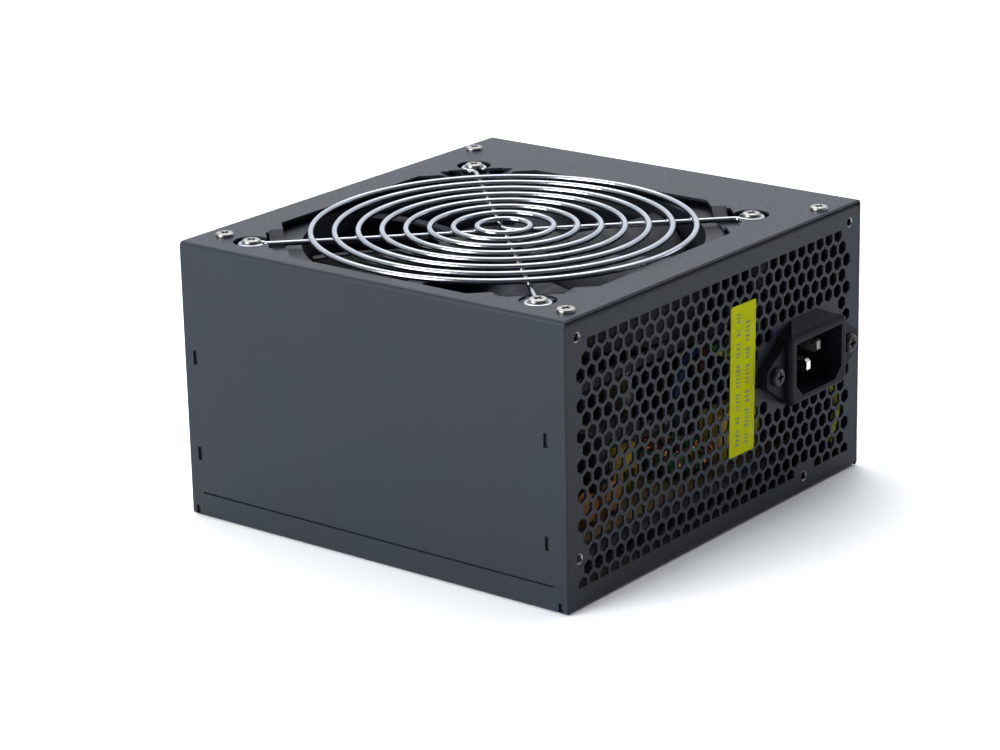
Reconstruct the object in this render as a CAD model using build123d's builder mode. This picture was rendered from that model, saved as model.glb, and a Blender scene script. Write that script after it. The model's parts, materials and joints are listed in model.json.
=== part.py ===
from build123d import *

import math
import os

# Power supply unit for a desktop computer, in millimetres, +Z up. The origin is the centre of
# the bottom face of the case. -Y is the rear face with the honeycomb grille and the mains
# inlet, +Y is the front face where the output cables leave, and the fan looks up through the
# top cover.

os.makedirs("parts", exist_ok=True)

LOW = (Align.CENTER, Align.CENTER, Align.MIN)
HIGH = (Align.CENTER, Align.CENTER, Align.MAX)
FLAT_LOW = (Align.CENTER, Align.MIN)
SIDE = (Align.MIN, Align.CENTER)

# Case
case_width = 150.0
case_depth = 140.0
case_height = 85.0
sheet = 0.8
rear = -case_depth / 2
cover_bottom = 8.0
cover_bend = 1.5
lip_height = 7.4
panel_width = 148.2
panel_height = case_height - sheet
panel_flange = 10.0
panel_side_flange = 8.0
side_flange_bottom = 1.0
side_flange_top = 80.0
seam_strip_top = 16.0
seam_strip_half = 61.5
lip_tab_length = 4.6
end_floor_gap = 4.0
relief_inset = 2.2
relief_width = 1.6
relief_bottom = 0.7
relief_height = 2.6
cover_screw_places = [(-67.0, -65.0), (58.0, -66.0), (-63.0, 63.0), (58.0, 65.0)]
cover_screw_hole = 4.2
side_slot_places = [(66.0, 50.0), (66.0, 20.0), (-63.4, 50.0), (-63.4, 20.0)]

# Mounting holes on the rear face, as (X, Z)
mount_holes = [(-69.0, 79.0), (69.0, 79.0), (-69.0, 15.0), (45.0, 5.0)]
mount_hole_radius = 1.5

# Honeycomb of pointed-top hexagons on the rear face
cell_across_flats = 3.9
cell_pitch = 5.0
cell_rows = 17
cell_first_z = 76.4
cell_top_limit = 77.7
cell_bottom_limit = 6.2

# Mains inlet
inlet_x = 44.0
inlet_z = 43.0
flange_thickness = 3.5
flange_half = 25.0
flange_top = 13.6
flange_top_half = 7.0
flange_end = 2.6
hood_half = 13.4
rim_front = rear - 5.6
rim_width = 30.8
rim_height = 21.0
rim_chamfer = 2.0
rim_corner = 1.6
rim_edge = 1.2
socket_width = 24.8
socket_height = 16.6
socket_chamfer = 3.6
socket_floor = rear + 12.0
inlet_back = rear + 15.0
blade_back = rear + 23.0
inlet_screw_pitch = 40.0

# Fan
fan_x = -10.5
fan_size = 120.0
fan_thickness = 25.0
fan_hole_pitch = 105.0
fan_hole_radius = 2.15
fan_top = 82.2
fan_bottom = fan_top - fan_thickness
fan_flange = 4.0
venturi_radius = 58.0
hub_radius = 20.0
hub_bottom = 62.5
hub_top = 80.5
blade_count = 7
blade_tip_radius = 56.5
mount_plate_top = fan_bottom + 3.0
bearing_radius = 4.0
bearing_bottom = 61.8
bearing_top = 76.0
shaft_radius = 1.5
screw_reach = fan_hole_pitch / math.sqrt(2)

# Fan opening and guard
opening_half = 58.7
opening_chamfer = 91.0
pad_top = 83.0
pad_radius = 4.8
pad_clearance = 0.6
pad_neck_half = 4.4
guard_screw_hole = 2.3
strap_edge = 68.6
slot_edge = 69.6
slot_half_width = 8.6
strap_top_half = 11.5
strap_foot_half = 7.5
guard_arm_z = 83.85
guard_arm_wire = 1.6
guard_ring_z = 85.4
guard_ring_wire = 1.8
guard_ring_count = 8
guard_first_radius = 7.8
guard_ring_pitch = 7.0
eye_radius = 3.45
eye_blend = 3.0

# Circuit board
board_bottom = 6.3
board_top = 7.9
board_left, board_right = -66.0, 66.0
board_back, board_front = -52.0, 60.0
standoff_places = [(-60.0, -46.0), (60.0, -46.0), (-60.0, 54.0), (60.0, 54.0)]


def finish(piece, name):
    """Label a finished piece and write it to its own STEP file."""
    piece.part.label = name
    export_step(piece.part, "parts/" + name + ".step")


def pan_screw(head_diameter, head_height, shank_diameter, length):
    """Pan head screw with a cross recess, its head standing on Z = 0."""
    with BuildPart() as screw:
        Cylinder(head_diameter / 2, head_height, align=LOW)
        fillet(screw.edges().group_by(Axis.Z)[-1], head_height * 0.6)
        Cylinder(shank_diameter / 2, length, align=HIGH)
        with BuildSketch(Plane.XY.offset(head_height)):
            Rectangle(head_diameter * 0.55, head_diameter * 0.15)
            Rectangle(head_diameter * 0.15, head_diameter * 0.55)
        extrude(amount=-head_height * 0.6, mode=Mode.SUBTRACT)
    return screw.part


def end_panel():
    """Rear sheet panel with its four bent flanges, before any hole is cut."""
    with BuildPart() as panel:
        with BuildSketch(Plane.YZ) as section:
            with Locations((rear, 0)):
                Rectangle(panel_flange, panel_height, align=(Align.MIN, Align.MIN))
            corners = section.vertices().group_by(Axis.X)[0].sort_by(Axis.Y)
            fillet(corners[0], 1.5)
            fillet(section.vertices().group_by(Axis.Y)[-1].sort_by(Axis.X)[0], 2.0)
            with Locations((rear + sheet, sheet)):
                Rectangle(panel_flange, panel_height - 2 * sheet, align=(Align.MIN, Align.MIN),
                          mode=Mode.SUBTRACT)
            with Locations((rear + 4.0, 0)):
                Rectangle(panel_flange, sheet, align=(Align.MIN, Align.MIN), mode=Mode.SUBTRACT)
        extrude(amount=panel_width / 2, both=True)
        with BuildSketch(Plane.XY.offset(side_flange_bottom)):
            with Locations((-panel_width / 2 + sheet / 2, rear + panel_side_flange / 2),
                           (panel_width / 2 - sheet / 2, rear + panel_side_flange / 2)):
                Rectangle(sheet, panel_side_flange)
        extrude(amount=side_flange_top - side_flange_bottom)
    return panel.part


def cord_path(points, name):
    """Straight runs joined by the largest even arcs that the runs allow."""
    places = [Vector(*point) for point in points]
    radii = []
    for before, here, after in zip(places, places[1:], places[2:]):
        turn = math.radians((here - before).get_angle(after - here))
        run = min((here - before).length, (after - here).length)
        radii.append(0.45 * run / math.tan(turn / 2))
    print(name, "arc radii", [round(radius, 1) for radius in radii])
    return FilletPolyline(*places, radius=radii)


def wire_solid(points, diameter, name):
    """Round insulated wire along a route; prints its volume against section x length."""
    with BuildPart() as wire:
        with BuildLine():
            path = cord_path(points, name)
        with BuildSketch(Plane(origin=points[0], z_dir=path % 0)):
            Circle(diameter / 2)
        sweep(path=path)
    ideal = math.pi * diameter**2 / 4 * path.length
    print(name, "length", round(path.length, 1), "volume ratio", round(wire.part.volume / ideal, 4))
    return wire


# ---------------------------------------------------------------- case sheets

# Fan corners: u runs outward along the diagonal, v across it.
corner_angles = [45.0, 135.0, 225.0, 315.0]


def corner_plane(angle, height):
    """Horizontal plane through the fan's axis with its x axis towards one corner."""
    turn = math.radians(angle)
    return Plane(origin=(fan_x, 0, height), x_dir=(math.cos(turn), math.sin(turn), 0))


def strap_plane(angle, reach):
    """Upright plane across the diagonal: x is v, y is Z, the normal points outward."""
    turn = math.radians(angle)
    outward = (math.cos(turn), math.sin(turn), 0)
    origin = (fan_x + reach * outward[0], reach * outward[1], 0)
    return Plane(origin=origin, x_dir=(-outward[1], outward[0], 0), z_dir=outward)


strap_inner = opening_chamfer / math.sqrt(2)

with BuildPart() as top_cover:
    with BuildSketch(Plane.XZ) as section:
        with Locations((0, cover_bottom)):
            Rectangle(case_width, case_height - cover_bottom, align=FLAT_LOW)
        fillet(section.vertices().group_by(Axis.Y)[-1], cover_bend)
        with Locations((0, cover_bottom)):
            Rectangle(case_width - 2 * sheet, case_height - sheet - cover_bottom, align=FLAT_LOW,
                      mode=Mode.SUBTRACT)
    extrude(amount=case_depth / 2, both=True)
    # Octagonal fan opening
    with BuildSketch(Plane.XY.offset(case_height)):
        with Locations((fan_x, 0)):
            Rectangle(2 * opening_half, 2 * opening_half)
            with Locations(Rot(0, 0, 45)):
                Rectangle(2 * strap_inner, 2 * strap_inner, mode=Mode.INTERSECT)
    extrude(amount=-2 * sheet, mode=Mode.SUBTRACT)
    # Room for each strap, the slot beyond it and the round pad under the screw
    for angle in corner_angles:
        with BuildSketch(corner_plane(angle, case_height)):
            with Locations((strap_inner - 2.0, 0)):
                Rectangle(strap_edge - strap_inner + 2.0, 2 * strap_top_half, align=SIDE)
            with Locations((strap_inner, 0)):
                Rectangle(slot_edge - strap_inner, 2 * slot_half_width, align=SIDE)
            with Locations((screw_reach, 0)):
                Circle(pad_radius + pad_clearance)
        extrude(amount=-2 * sheet, mode=Mode.SUBTRACT)
    # Straps formed down to carry the guard and the fan, with a round pad under each screw
    for angle in corner_angles:
        with BuildSketch(strap_plane(angle, strap_inner)):
            upper = [(-strap_top_half, case_height), (-strap_foot_half, pad_top),
                     (strap_foot_half, pad_top), (strap_top_half, case_height)]
            lower = [(v, z - sheet) for v, z in reversed(upper)]
            Polygon(*upper, *lower, align=None)
        extrude(amount=strap_edge - strap_inner)
        with BuildSketch(corner_plane(angle, pad_top)):
            with Locations((screw_reach, 0)):
                Circle(pad_radius)
            with Locations((strap_edge - 1.0, 0)):
                Rectangle(screw_reach - strap_edge, 2 * pad_neck_half, align=SIDE)
        extrude(amount=-sheet)
        with BuildSketch(corner_plane(angle, pad_top)):
            with Locations((screw_reach, 0)):
                Circle(guard_screw_hole)
        extrude(amount=-2 * sheet, mode=Mode.SUBTRACT)
    # Cover screw holes and the small side slots
    with BuildSketch(Plane.XY.offset(case_height)):
        with Locations(*cover_screw_places):
            Circle(cover_screw_hole / 2)
    extrude(amount=-2 * sheet, mode=Mode.SUBTRACT)
    with BuildSketch(Plane.YZ):
        with Locations(*side_slot_places):
            Rectangle(1.5, 4.2)
    extrude(amount=case_width, both=True, mode=Mode.SUBTRACT)
finish(top_cover, "top_cover")

# Bottom sheet with its two low side lips
with BuildPart() as base_tray:
    with BuildSketch(Plane.XZ) as section:
        Rectangle(case_width, lip_height, align=FLAT_LOW)
        fillet(section.vertices().group_by(Axis.Y)[0], 1.2)
        with Locations((0, sheet)):
            Rectangle(case_width - 2 * sheet, lip_height, align=FLAT_LOW, mode=Mode.SUBTRACT)
    extrude(amount=case_depth / 2, both=True)
    # Joggled strips that close the seam with the cover from inside
    for side in (-1, 1):
        strip_centre = side * (panel_width / 2 - sheet / 2)
        with Locations((strip_centre, 0, sheet)):
            Box(sheet, 2 * seam_strip_half, seam_strip_top - sheet, align=LOW)
        with Locations((strip_centre + side * sheet / 2, 0, sheet)):
            Box(sheet, 2 * seam_strip_half, lip_height - sheet - 2.0, align=LOW)
        # Tabs that close the seam at both ends of the lip
        tab_centre = side * (case_width - sheet) / 2
        with Locations((tab_centre, rear + lip_tab_length / 2, lip_height - sheet),
                       (tab_centre, -rear - lip_tab_length / 2, lip_height - sheet)):
            Box(sheet, lip_tab_length, cover_bottom - 0.1 - lip_height + sheet, align=LOW)
    # Room for the end panels, and a small relief window in each lip by the bends
    with Locations((0, rear, -sheet), (0, -rear, -sheet)):
        Box(panel_width + 0.1, 2 * end_floor_gap, 3 * sheet, align=LOW, mode=Mode.SUBTRACT)
    with Locations((0, rear + relief_inset, relief_bottom), (0, -rear - relief_inset, relief_bottom)):
        Box(case_width + 1, relief_width, relief_height, align=LOW, mode=Mode.SUBTRACT)
    with Locations(*[(x, y, 0) for x, y in standoff_places]):
        Cylinder(1.6, 2 * sheet, align=LOW, mode=Mode.SUBTRACT)
    with Locations((60.5, -60.5, 0)):
        Cylinder(1.75, 2 * sheet, align=LOW, mode=Mode.SUBTRACT)
finish(base_tray, "base_tray")


def honeycomb_cells():
    """Centres (X, Z) of the cells that the mains inlet, the label side and the corners leave."""
    cells = []
    for row in range(cell_rows):
        z = cell_first_z - row * cell_pitch * math.sqrt(3) / 2
        first = -67.5 if row % 2 == 0 else -65.0
        count = 28 if row % 2 == 0 else 27
        for column in range(count):
            x = first + column * cell_pitch
            near_hole = any(math.hypot(x - hole_x, z - hole_z) < mount_hole_radius + 3.2
                            for hole_x, hole_z in mount_holes)
            dx = abs(x - inlet_x)
            dz = abs(z - inlet_z)
            behind_inlet = dz < 13.5 and dx < 25.0 and dx + 0.9 * dz < 29.4
            if not near_hole and not behind_inlet:
                cells.append((x, z))
    return cells


with BuildPart() as rear_panel:
    add(end_panel())
    with BuildSketch(Plane.XZ.offset(-rear)):
        with Locations(*honeycomb_cells()):
            RegularPolygon(cell_across_flats / math.sqrt(3), 6, rotation=30)
        with Locations((0, (cell_top_limit + cell_bottom_limit) / 2)):
            Rectangle(case_width, cell_top_limit - cell_bottom_limit, mode=Mode.INTERSECT)
    extrude(amount=-2 * sheet, mode=Mode.SUBTRACT)
    with BuildSketch(Plane.XZ.offset(-rear)):
        with Locations(*mount_holes):
            Circle(mount_hole_radius)
        with Locations((inlet_x, inlet_z)):
            Rectangle(27.6, 20.6)
        with Locations((inlet_x - inlet_screw_pitch / 2, inlet_z),
                       (inlet_x + inlet_screw_pitch / 2, inlet_z)):
            Circle(1.6)
    extrude(amount=-2 * sheet, mode=Mode.SUBTRACT)
    with Locations(*[(x, y, panel_height + 1) for x, y in cover_screw_places[:2]]):
        Cylinder(1.6, 3.0, align=HIGH, mode=Mode.SUBTRACT)
finish(rear_panel, "rear_panel")

outlet_x = -48.0
outlet_z = 32.0
outlet_width = 30.0
outlet_height = 20.0

with BuildPart() as front_panel:
    add(end_panel().rotate(Axis.Z, 180))
    with BuildSketch(Plane.XZ.offset(rear)):
        with Locations((outlet_x, outlet_z)):
            SlotOverall(outlet_width, outlet_height)
        with Locations((22.0, 46.0)):
            with GridLocations(6.5, 22.0, 12, 2):
                SlotOverall(16.0, 4.0, rotation=90)
        with Locations((22.0, 14.0)):
            with GridLocations(6.5, 1.0, 12, 1):
                SlotOverall(9.0, 4.0, rotation=90)
    extrude(amount=4 * sheet, both=True, mode=Mode.SUBTRACT)
    with Locations(*[(x, y, panel_height + 1) for x, y in cover_screw_places[2:]]):
        Cylinder(1.6, 3.0, align=HIGH, mode=Mode.SUBTRACT)
finish(front_panel, "front_panel")

with BuildPart() as cover_screws:
    with Locations(*[(x, y, case_height) for x, y in cover_screw_places]):
        add(pan_screw(5.4, 1.05, 3.1, 5.0))
finish(cover_screws, "cover_screws")

# Plain paper label on the grille
with BuildPart() as panel_label:
    with BuildSketch(Plane.XZ.offset(-rear)):
        with Locations(Location((11.05, 45.3), -1.2)):
            RectangleRounded(12.8, 45.8, 0.6)
    extrude(amount=0.2)
finish(panel_label, "panel_label")

# ---------------------------------------------------------------- fan

fan_corners = [(fan_x + dx * fan_hole_pitch / 2, dy * fan_hole_pitch / 2)
               for dx in (-1, 1) for dy in (-1, 1)]

with BuildPart() as fan_frame:
    with BuildSketch(Plane.XY.offset(fan_bottom), Plane.XY.offset(fan_top - fan_flange)):
        with Locations((fan_x, 0)):
            RectangleRounded(fan_size, fan_size, 4.0)
    extrude(amount=fan_flange)
    with BuildSketch(Plane.XY.offset(fan_bottom)):
        with Locations((fan_x, 0)):
            Circle(venturi_radius + 1.6)
        with Locations(*fan_corners):
            Circle(4.6)
    extrude(amount=fan_thickness)
    with BuildSketch(Plane.XY.offset(fan_bottom - 1)):
        with Locations((fan_x, 0)):
            Circle(venturi_radius)
    extrude(amount=fan_thickness + 2, mode=Mode.SUBTRACT)
    # Flared mouth on the intake side
    with BuildSketch(Plane.XZ) as flare:
        with BuildLine():
            Polyline((fan_x + venturi_radius - 1, fan_top + 1), (fan_x + venturi_radius + 1.6, fan_top + 1),
                     (fan_x + venturi_radius + 1.5, fan_top), (fan_x + venturi_radius, fan_top - 6),
                     (fan_x + venturi_radius - 1, fan_top - 6), close=True)
        make_face()
    revolve(axis=Axis((fan_x, 0, 0), (0, 0, 1)), mode=Mode.SUBTRACT)
    # Motor plate on four struts, with the bearing tube
    with BuildSketch(Plane.XY.offset(fan_bottom)):
        with Locations((fan_x, 0)):
            Circle(hub_radius)
            with PolarLocations(0, 4):
                with Locations((39.0, 0)):
                    Rectangle(40.0, 6.0)
    extrude(amount=mount_plate_top - fan_bottom)
    with BuildSketch(Plane.XY.offset(fan_bottom)):
        with Locations((fan_x, 0)):
            Circle(bearing_radius + 0.6)
    extrude(amount=bearing_top - fan_bottom)
    with BuildSketch(Plane.XY.offset(mount_plate_top)):
        with Locations((fan_x, 0)):
            Circle(bearing_radius)
    extrude(amount=fan_thickness, mode=Mode.SUBTRACT)
    # Screw holes and the notch that lets the leads out at the front
    with BuildSketch(Plane.XY.offset(fan_bottom - 1)):
        with Locations(*fan_corners):
            Circle(fan_hole_radius)
    extrude(amount=fan_thickness + 2, mode=Mode.SUBTRACT)
    with Locations((fan_x, 60.0, fan_bottom - 1)):
        Box(5.0, 4.6, 6.0, align=LOW, mode=Mode.SUBTRACT)
finish(fan_frame, "fan_frame")

with BuildPart() as fan_bearing:
    with BuildSketch(Plane.XY.offset(bearing_bottom)):
        with Locations((fan_x, 0)):
            Circle(bearing_radius)
            Circle(shaft_radius + 0.05, mode=Mode.SUBTRACT)
    extrude(amount=bearing_top - bearing_bottom)
finish(fan_bearing, "fan_bearing")

shaft_bottom = 60.7
clip_bottom = 61.0
clip_top = 61.4
groove_radius = 1.1

with BuildPart() as fan_shaft:
    with BuildSketch(Plane.XZ):
        with BuildLine():
            Polyline((fan_x, shaft_bottom), (fan_x + shaft_radius, shaft_bottom),
                     (fan_x + shaft_radius, clip_bottom), (fan_x + groove_radius, clip_bottom),
                     (fan_x + groove_radius, clip_top), (fan_x + shaft_radius, clip_top),
                     (fan_x + shaft_radius, hub_top - 0.6), (fan_x, hub_top - 0.6), close=True)
        make_face()
    revolve(axis=Axis((fan_x, 0, 0), (0, 0, 1)))
finish(fan_shaft, "fan_shaft")

with BuildPart() as shaft_clip:
    with BuildSketch(Plane.XY.offset(clip_bottom)):
        with Locations((fan_x, 0)):
            Circle(2.7)
            Circle(groove_radius, mode=Mode.SUBTRACT)
            with Locations((2.0, 0)):
                Rectangle(4.0, 1.2, mode=Mode.SUBTRACT)
    extrude(amount=clip_top - clip_bottom)
finish(shaft_clip, "shaft_clip")


def blade_section(radius, lead_angle, chord, pitch, camber):
    """Curved blade profile on an upright plane across the radius at one angle."""
    turn = math.radians(lead_angle)
    outward = (math.cos(turn), math.sin(turn), 0)
    origin = (fan_x + radius * outward[0], radius * outward[1], (hub_bottom + hub_top) / 2)
    plane = Plane(origin=origin, x_dir=(-outward[1], outward[0], 0), z_dir=outward)
    tilt = math.radians(pitch)
    along = (math.cos(tilt), math.sin(tilt))
    across = (-math.sin(tilt), math.cos(tilt))

    def place(s, n):
        return (s * along[0] + n * across[0], s * along[1] + n * across[1])

    with BuildSketch(plane) as section:
        with BuildLine():
            upper = ThreePointArc(place(-chord / 2, 0.45), place(0, camber + 1.0), place(chord / 2, 0.35))
            lower = ThreePointArc(place(-chord / 2, -0.45), place(0, camber - 1.0),
                                  place(chord / 2, -0.35))
            Line(upper @ 0, lower @ 0)
            Line(upper @ 1, lower @ 1)
        make_face()
    return section.sketch.faces()[0]


hub_wall_inner = 18.2
hub_roof = hub_top - 2.0

with BuildPart() as one_blade:
    loft([blade_section(17.0, -2.0, 21.0, 44.0, 2.2),
          blade_section(30.0, 1.0, 26.0, 36.0, 2.8),
          blade_section(44.0, 5.5, 31.0, 30.0, 3.0),
          blade_section(59.0, 12.0, 36.0, 25.0, 3.0)])
    with BuildSketch(Plane.XY.offset(hub_bottom - 5)):
        with Locations((fan_x, 0)):
            Circle(blade_tip_radius)
            Circle(hub_wall_inner + 0.6, mode=Mode.SUBTRACT)
    extrude(amount=hub_top - hub_bottom + 10, mode=Mode.INTERSECT)

with BuildPart() as fan_rotor:
    with BuildSketch(Plane.XY.offset(hub_bottom)):
        with Locations((fan_x, 0)):
            Circle(hub_radius)
    extrude(amount=hub_top - hub_bottom)
    fillet(fan_rotor.edges().group_by(Axis.Z)[-1], 1.6)
    for index in range(blade_count):
        turn = 360 / blade_count * index + 10.0
        add(one_blade.part.rotate(Axis((fan_x, 0, 0), (0, 0, 1)), turn))
    with BuildSketch(Plane.XY.offset(hub_bottom)):
        with Locations((fan_x, 0)):
            Circle(hub_wall_inner)
    extrude(amount=hub_roof - hub_bottom, mode=Mode.SUBTRACT)
    with BuildSketch(Plane.XY.offset(bearing_top + 0.6)):
        with Locations((fan_x, 0)):
            Circle(3.2)
    extrude(amount=hub_roof - bearing_top - 0.6)
    with BuildSketch(Plane.XY.offset(hub_bottom)):
        with Locations((fan_x, 0)):
            Circle(shaft_radius)
    extrude(amount=hub_top - 0.6 - hub_bottom, mode=Mode.SUBTRACT)
finish(fan_rotor, "fan_rotor")

with BuildPart() as rotor_yoke:
    with BuildSketch(Plane.XY.offset(hub_bottom + 1.0)):
        with Locations((fan_x, 0)):
            Circle(hub_wall_inner)
            Circle(hub_wall_inner - 0.8, mode=Mode.SUBTRACT)
    extrude(amount=hub_roof - hub_bottom - 1.0)
finish(rotor_yoke, "rotor_yoke")

magnet_inner = hub_wall_inner - 0.8 - 1.8

with BuildPart() as fan_magnet:
    with BuildSketch(Plane.XY.offset(64.0)):
        with Locations((fan_x, 0)):
            Circle(hub_wall_inner - 0.8)
            Circle(magnet_inner, mode=Mode.SUBTRACT)
    extrude(amount=13.0)
finish(fan_magnet, "fan_magnet")

with BuildPart() as fan_stator:
    with BuildSketch(Plane.XY.offset(66.0)) as laminations:
        with Locations((fan_x, 0)):
            Circle(magnet_inner - 0.6)
            Circle(13.0, mode=Mode.SUBTRACT)
            Circle(7.5)
            with PolarLocations(0, 4):
                with Locations((10.0, 0)):
                    Rectangle(8.0, 3.0)
            with PolarLocations(0, 4, start_angle=45):
                with Locations((13.5, 0)):
                    Rectangle(6.0, 3.5, mode=Mode.SUBTRACT)
            Circle(bearing_radius + 0.65, mode=Mode.SUBTRACT)
    extrude(amount=8.0)
finish(fan_stator, "fan_stator")

with BuildPart() as fan_coils:
    for angle in (0, 90, 180, 270):
        with BuildSketch(strap_plane(angle, 8.2)):
            with Locations((0, 70.0)):
                RectangleRounded(7.0, 12.0, 1.2)
                Rectangle(3.1, 8.1, mode=Mode.SUBTRACT)
        extrude(amount=4.0)
finish(fan_coils, "fan_coils")

fan_board_radius = 17.0
fan_board_top = mount_plate_top + 1.2

with BuildPart() as fan_board:
    with BuildSketch(Plane.XY.offset(mount_plate_top)):
        with Locations((fan_x, 0)):
            Circle(fan_board_radius)
            Circle(bearing_radius + 0.7, mode=Mode.SUBTRACT)
            with Locations((0, fan_board_radius)):
                Rectangle(6.0, 2.0, mode=Mode.SUBTRACT)
    extrude(amount=fan_board_top - mount_plate_top)
finish(fan_board, "fan_board")

# Fan leads: board in the hub, along the front strut, out of the notch, down to the header
lead_diameter = 1.2
lead_z = mount_plate_top + lead_diameter / 2 + 0.2
header_x, header_y = -20.0, 50.0
plug_top = 18.0
lead_route = [(0.0, fan_board_radius - 1.0, lead_z), (0.3, 38.0, lead_z + 0.1),
              (-0.2, 66.0, lead_z + 0.1), (-1.5, 66.0, 47.0), (-4.5, 60.0, 34.0),
              (header_x - fan_x + 0.2, header_y + 0.3, 25.0), (header_x - fan_x, header_y, plug_top)]


def lead_points(offset):
    return [(fan_x + offset + dx, y, z) for dx, y, z in lead_route]


fan_lead_red = wire_solid(lead_points(-0.8), lead_diameter, "fan_lead_red")
finish(fan_lead_red, "fan_lead_red")
fan_lead_black = wire_solid(lead_points(0.8), lead_diameter, "fan_lead_black")
finish(fan_lead_black, "fan_lead_black")

# ---------------------------------------------------------------- guard

with BuildPart() as guard_rings:
    with Locations((fan_x, 0, guard_ring_z)):
        for index in range(guard_ring_count):
            Torus(guard_first_radius + index * guard_ring_pitch, guard_ring_wire / 2)
finish(guard_rings, "guard_rings")

arm_bend = 5.0
apex = arm_bend * (math.sqrt(2) - 1)
eye_gap = math.sqrt((eye_radius + eye_blend) ** 2 - eye_blend**2)
eye_turn = math.degrees(math.atan2(eye_gap, eye_blend))
arm_start = arm_bend
arm_length = screw_reach - eye_gap - arm_start

with BuildPart() as half_arm:
    with BuildLine(Plane.XY.offset(guard_arm_z)) as arm_path:
        bend = JernArc((apex, 0), (0, 1), arm_bend, -45)
        arm = Line(bend @ 1, bend @ 1 + (bend % 1) * arm_length)
        blend_arc = JernArc(arm @ 1, arm % 1, eye_blend, eye_turn)
        JernArc(blend_arc @ 1, blend_arc % 1, eye_radius, -300)
    with BuildSketch(Plane(origin=(apex, 0, guard_arm_z), z_dir=(0, 1, 0))):
        Circle(guard_arm_wire / 2)
    sweep(path=arm_path.line)

with BuildPart() as guard_arms:
    for turn in (0, 180):
        half = half_arm.part.rotate(Axis.Z, turn)
        add(Pos(fan_x, 0, 0) * half)
        add(Pos(fan_x, 0, 0) * half.mirror(Plane.XZ))
finish(guard_arms, "guard_arms")

with BuildPart() as guard_screws:
    with Locations(*[(x, y, guard_arm_z + 0.5) for x, y in fan_corners]):
        add(pan_screw(5.6, 1.3, 4.2, 13.0))
finish(guard_screws, "guard_screws")

# ---------------------------------------------------------------- mains inlet


def inlet_plane(y):
    """Upright plane facing the rear at one Y, centred on the inlet."""
    return Plane(origin=(inlet_x, y, inlet_z), x_dir=(1, 0, 0), z_dir=(0, -1, 0))


def chamfered_outline(width, height, cut):
    """Corner points of a rectangle with its two lower corners cut off."""
    return [(-width / 2, -height / 2 + cut), (-width / 2 + cut, -height / 2),
            (width / 2 - cut, -height / 2), (width / 2, -height / 2 + cut),
            (width / 2, height / 2), (-width / 2, height / 2)]


pin_places = [(-7.0, 2.2, rear - 0.9), (7.0, 2.2, rear - 0.9), (0.0, -2.2, rear - 1.8)]

with BuildPart() as inlet_body:
    with BuildSketch(inlet_plane(rear)) as flange:
        Polygon((-flange_top_half, flange_top), (flange_top_half, flange_top),
                (flange_half, flange_end), (flange_half, -flange_end),
                (flange_top_half, -flange_top), (-flange_top_half, -flange_top),
                (-flange_half, -flange_end), (-flange_half, flange_end), align=None)
        fillet(flange.vertices(), 2.0)
    extrude(amount=flange_thickness)
    with BuildSketch(inlet_plane(rear)) as rim:
        Polygon(*chamfered_outline(rim_width, rim_height, rim_chamfer), align=None)
        fillet(rim.vertices(), rim_corner)
    extrude(amount=rear - rim_front)
    fillet(inlet_body.faces().sort_by(Axis.Y)[0].edges(), rim_edge)
    # Sloped hoods that run from the flange to the rounded edge of the rim, above and below
    hood_front = rim_front + rim_edge
    rim_half = rim_height / 2
    for side in (-1, 1):
        with BuildSketch(Plane.YZ.offset(inlet_x)):
            Polygon((rear, inlet_z + side * flange_top), (hood_front, inlet_z + side * rim_half),
                    (hood_front, inlet_z + side * 2 * flange_top),
                    (rear, inlet_z + side * 2 * flange_top), align=None)
        extrude(amount=flange_half, both=True, mode=Mode.SUBTRACT)
        with BuildSketch(inlet_plane(rear)):
            Polygon((-flange_top_half - 4.0, side * (rim_half - 1)),
                    (flange_top_half + 4.0, side * (rim_half - 1)),
                    (flange_top_half, side * flange_top), (-flange_top_half, side * flange_top),
                    align=None)
        with BuildSketch(inlet_plane(hood_front)):
            Polygon((-hood_half - 0.4, side * (rim_half - 1)), (hood_half + 0.4, side * (rim_half - 1)),
                    (hood_half, side * rim_half), (-hood_half, side * rim_half), align=None)
        loft()
    with BuildSketch(inlet_plane(rear)):
        Rectangle(27.2, 20.2)
    extrude(amount=-(inlet_back - rear))
    with BuildSketch(inlet_plane(rim_front)):
        Polygon(*chamfered_outline(socket_width, socket_height, socket_chamfer), align=None)
    extrude(amount=rim_front - socket_floor, mode=Mode.SUBTRACT)
    with BuildSketch(inlet_plane(rear)):
        with Locations((-inlet_screw_pitch / 2, 0), (inlet_screw_pitch / 2, 0)):
            Circle(1.6)
    extrude(amount=2 * flange_thickness, mode=Mode.SUBTRACT)
    with BuildSketch(inlet_plane(inlet_back)):
        with Locations(*[(dx, dz) for dx, dz, _ in pin_places]):
            Rectangle(2.0, 4.0)
    extrude(amount=inlet_back - socket_floor, mode=Mode.SUBTRACT)
finish(inlet_body, "inlet_body")

with BuildPart() as inlet_pins:
    for dx, dz, tip in pin_places:
        with BuildSketch(Plane(origin=(inlet_x + dx, blade_back, inlet_z + dz), x_dir=(1, 0, 0),
                               z_dir=(0, -1, 0))):
            Rectangle(2.0, 4.0)
        extrude(amount=blade_back - tip)
    chamfer(inlet_pins.faces().filter_by(Axis.Y).sort_by(Axis.Y)[:3].edges().filter_by(Axis.X), 0.8)
finish(inlet_pins, "inlet_pins")

with BuildPart() as inlet_screws:
    for side in (-1, 1):
        place = (inlet_x + side * inlet_screw_pitch / 2, rear - flange_thickness, inlet_z)
        with Locations(Plane(origin=place, x_dir=(1, 0, 0), z_dir=(0, -1, 0))):
            add(pan_screw(5.8, 1.4, 2.9, 8.0))
finish(inlet_screws, "inlet_screws")

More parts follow.
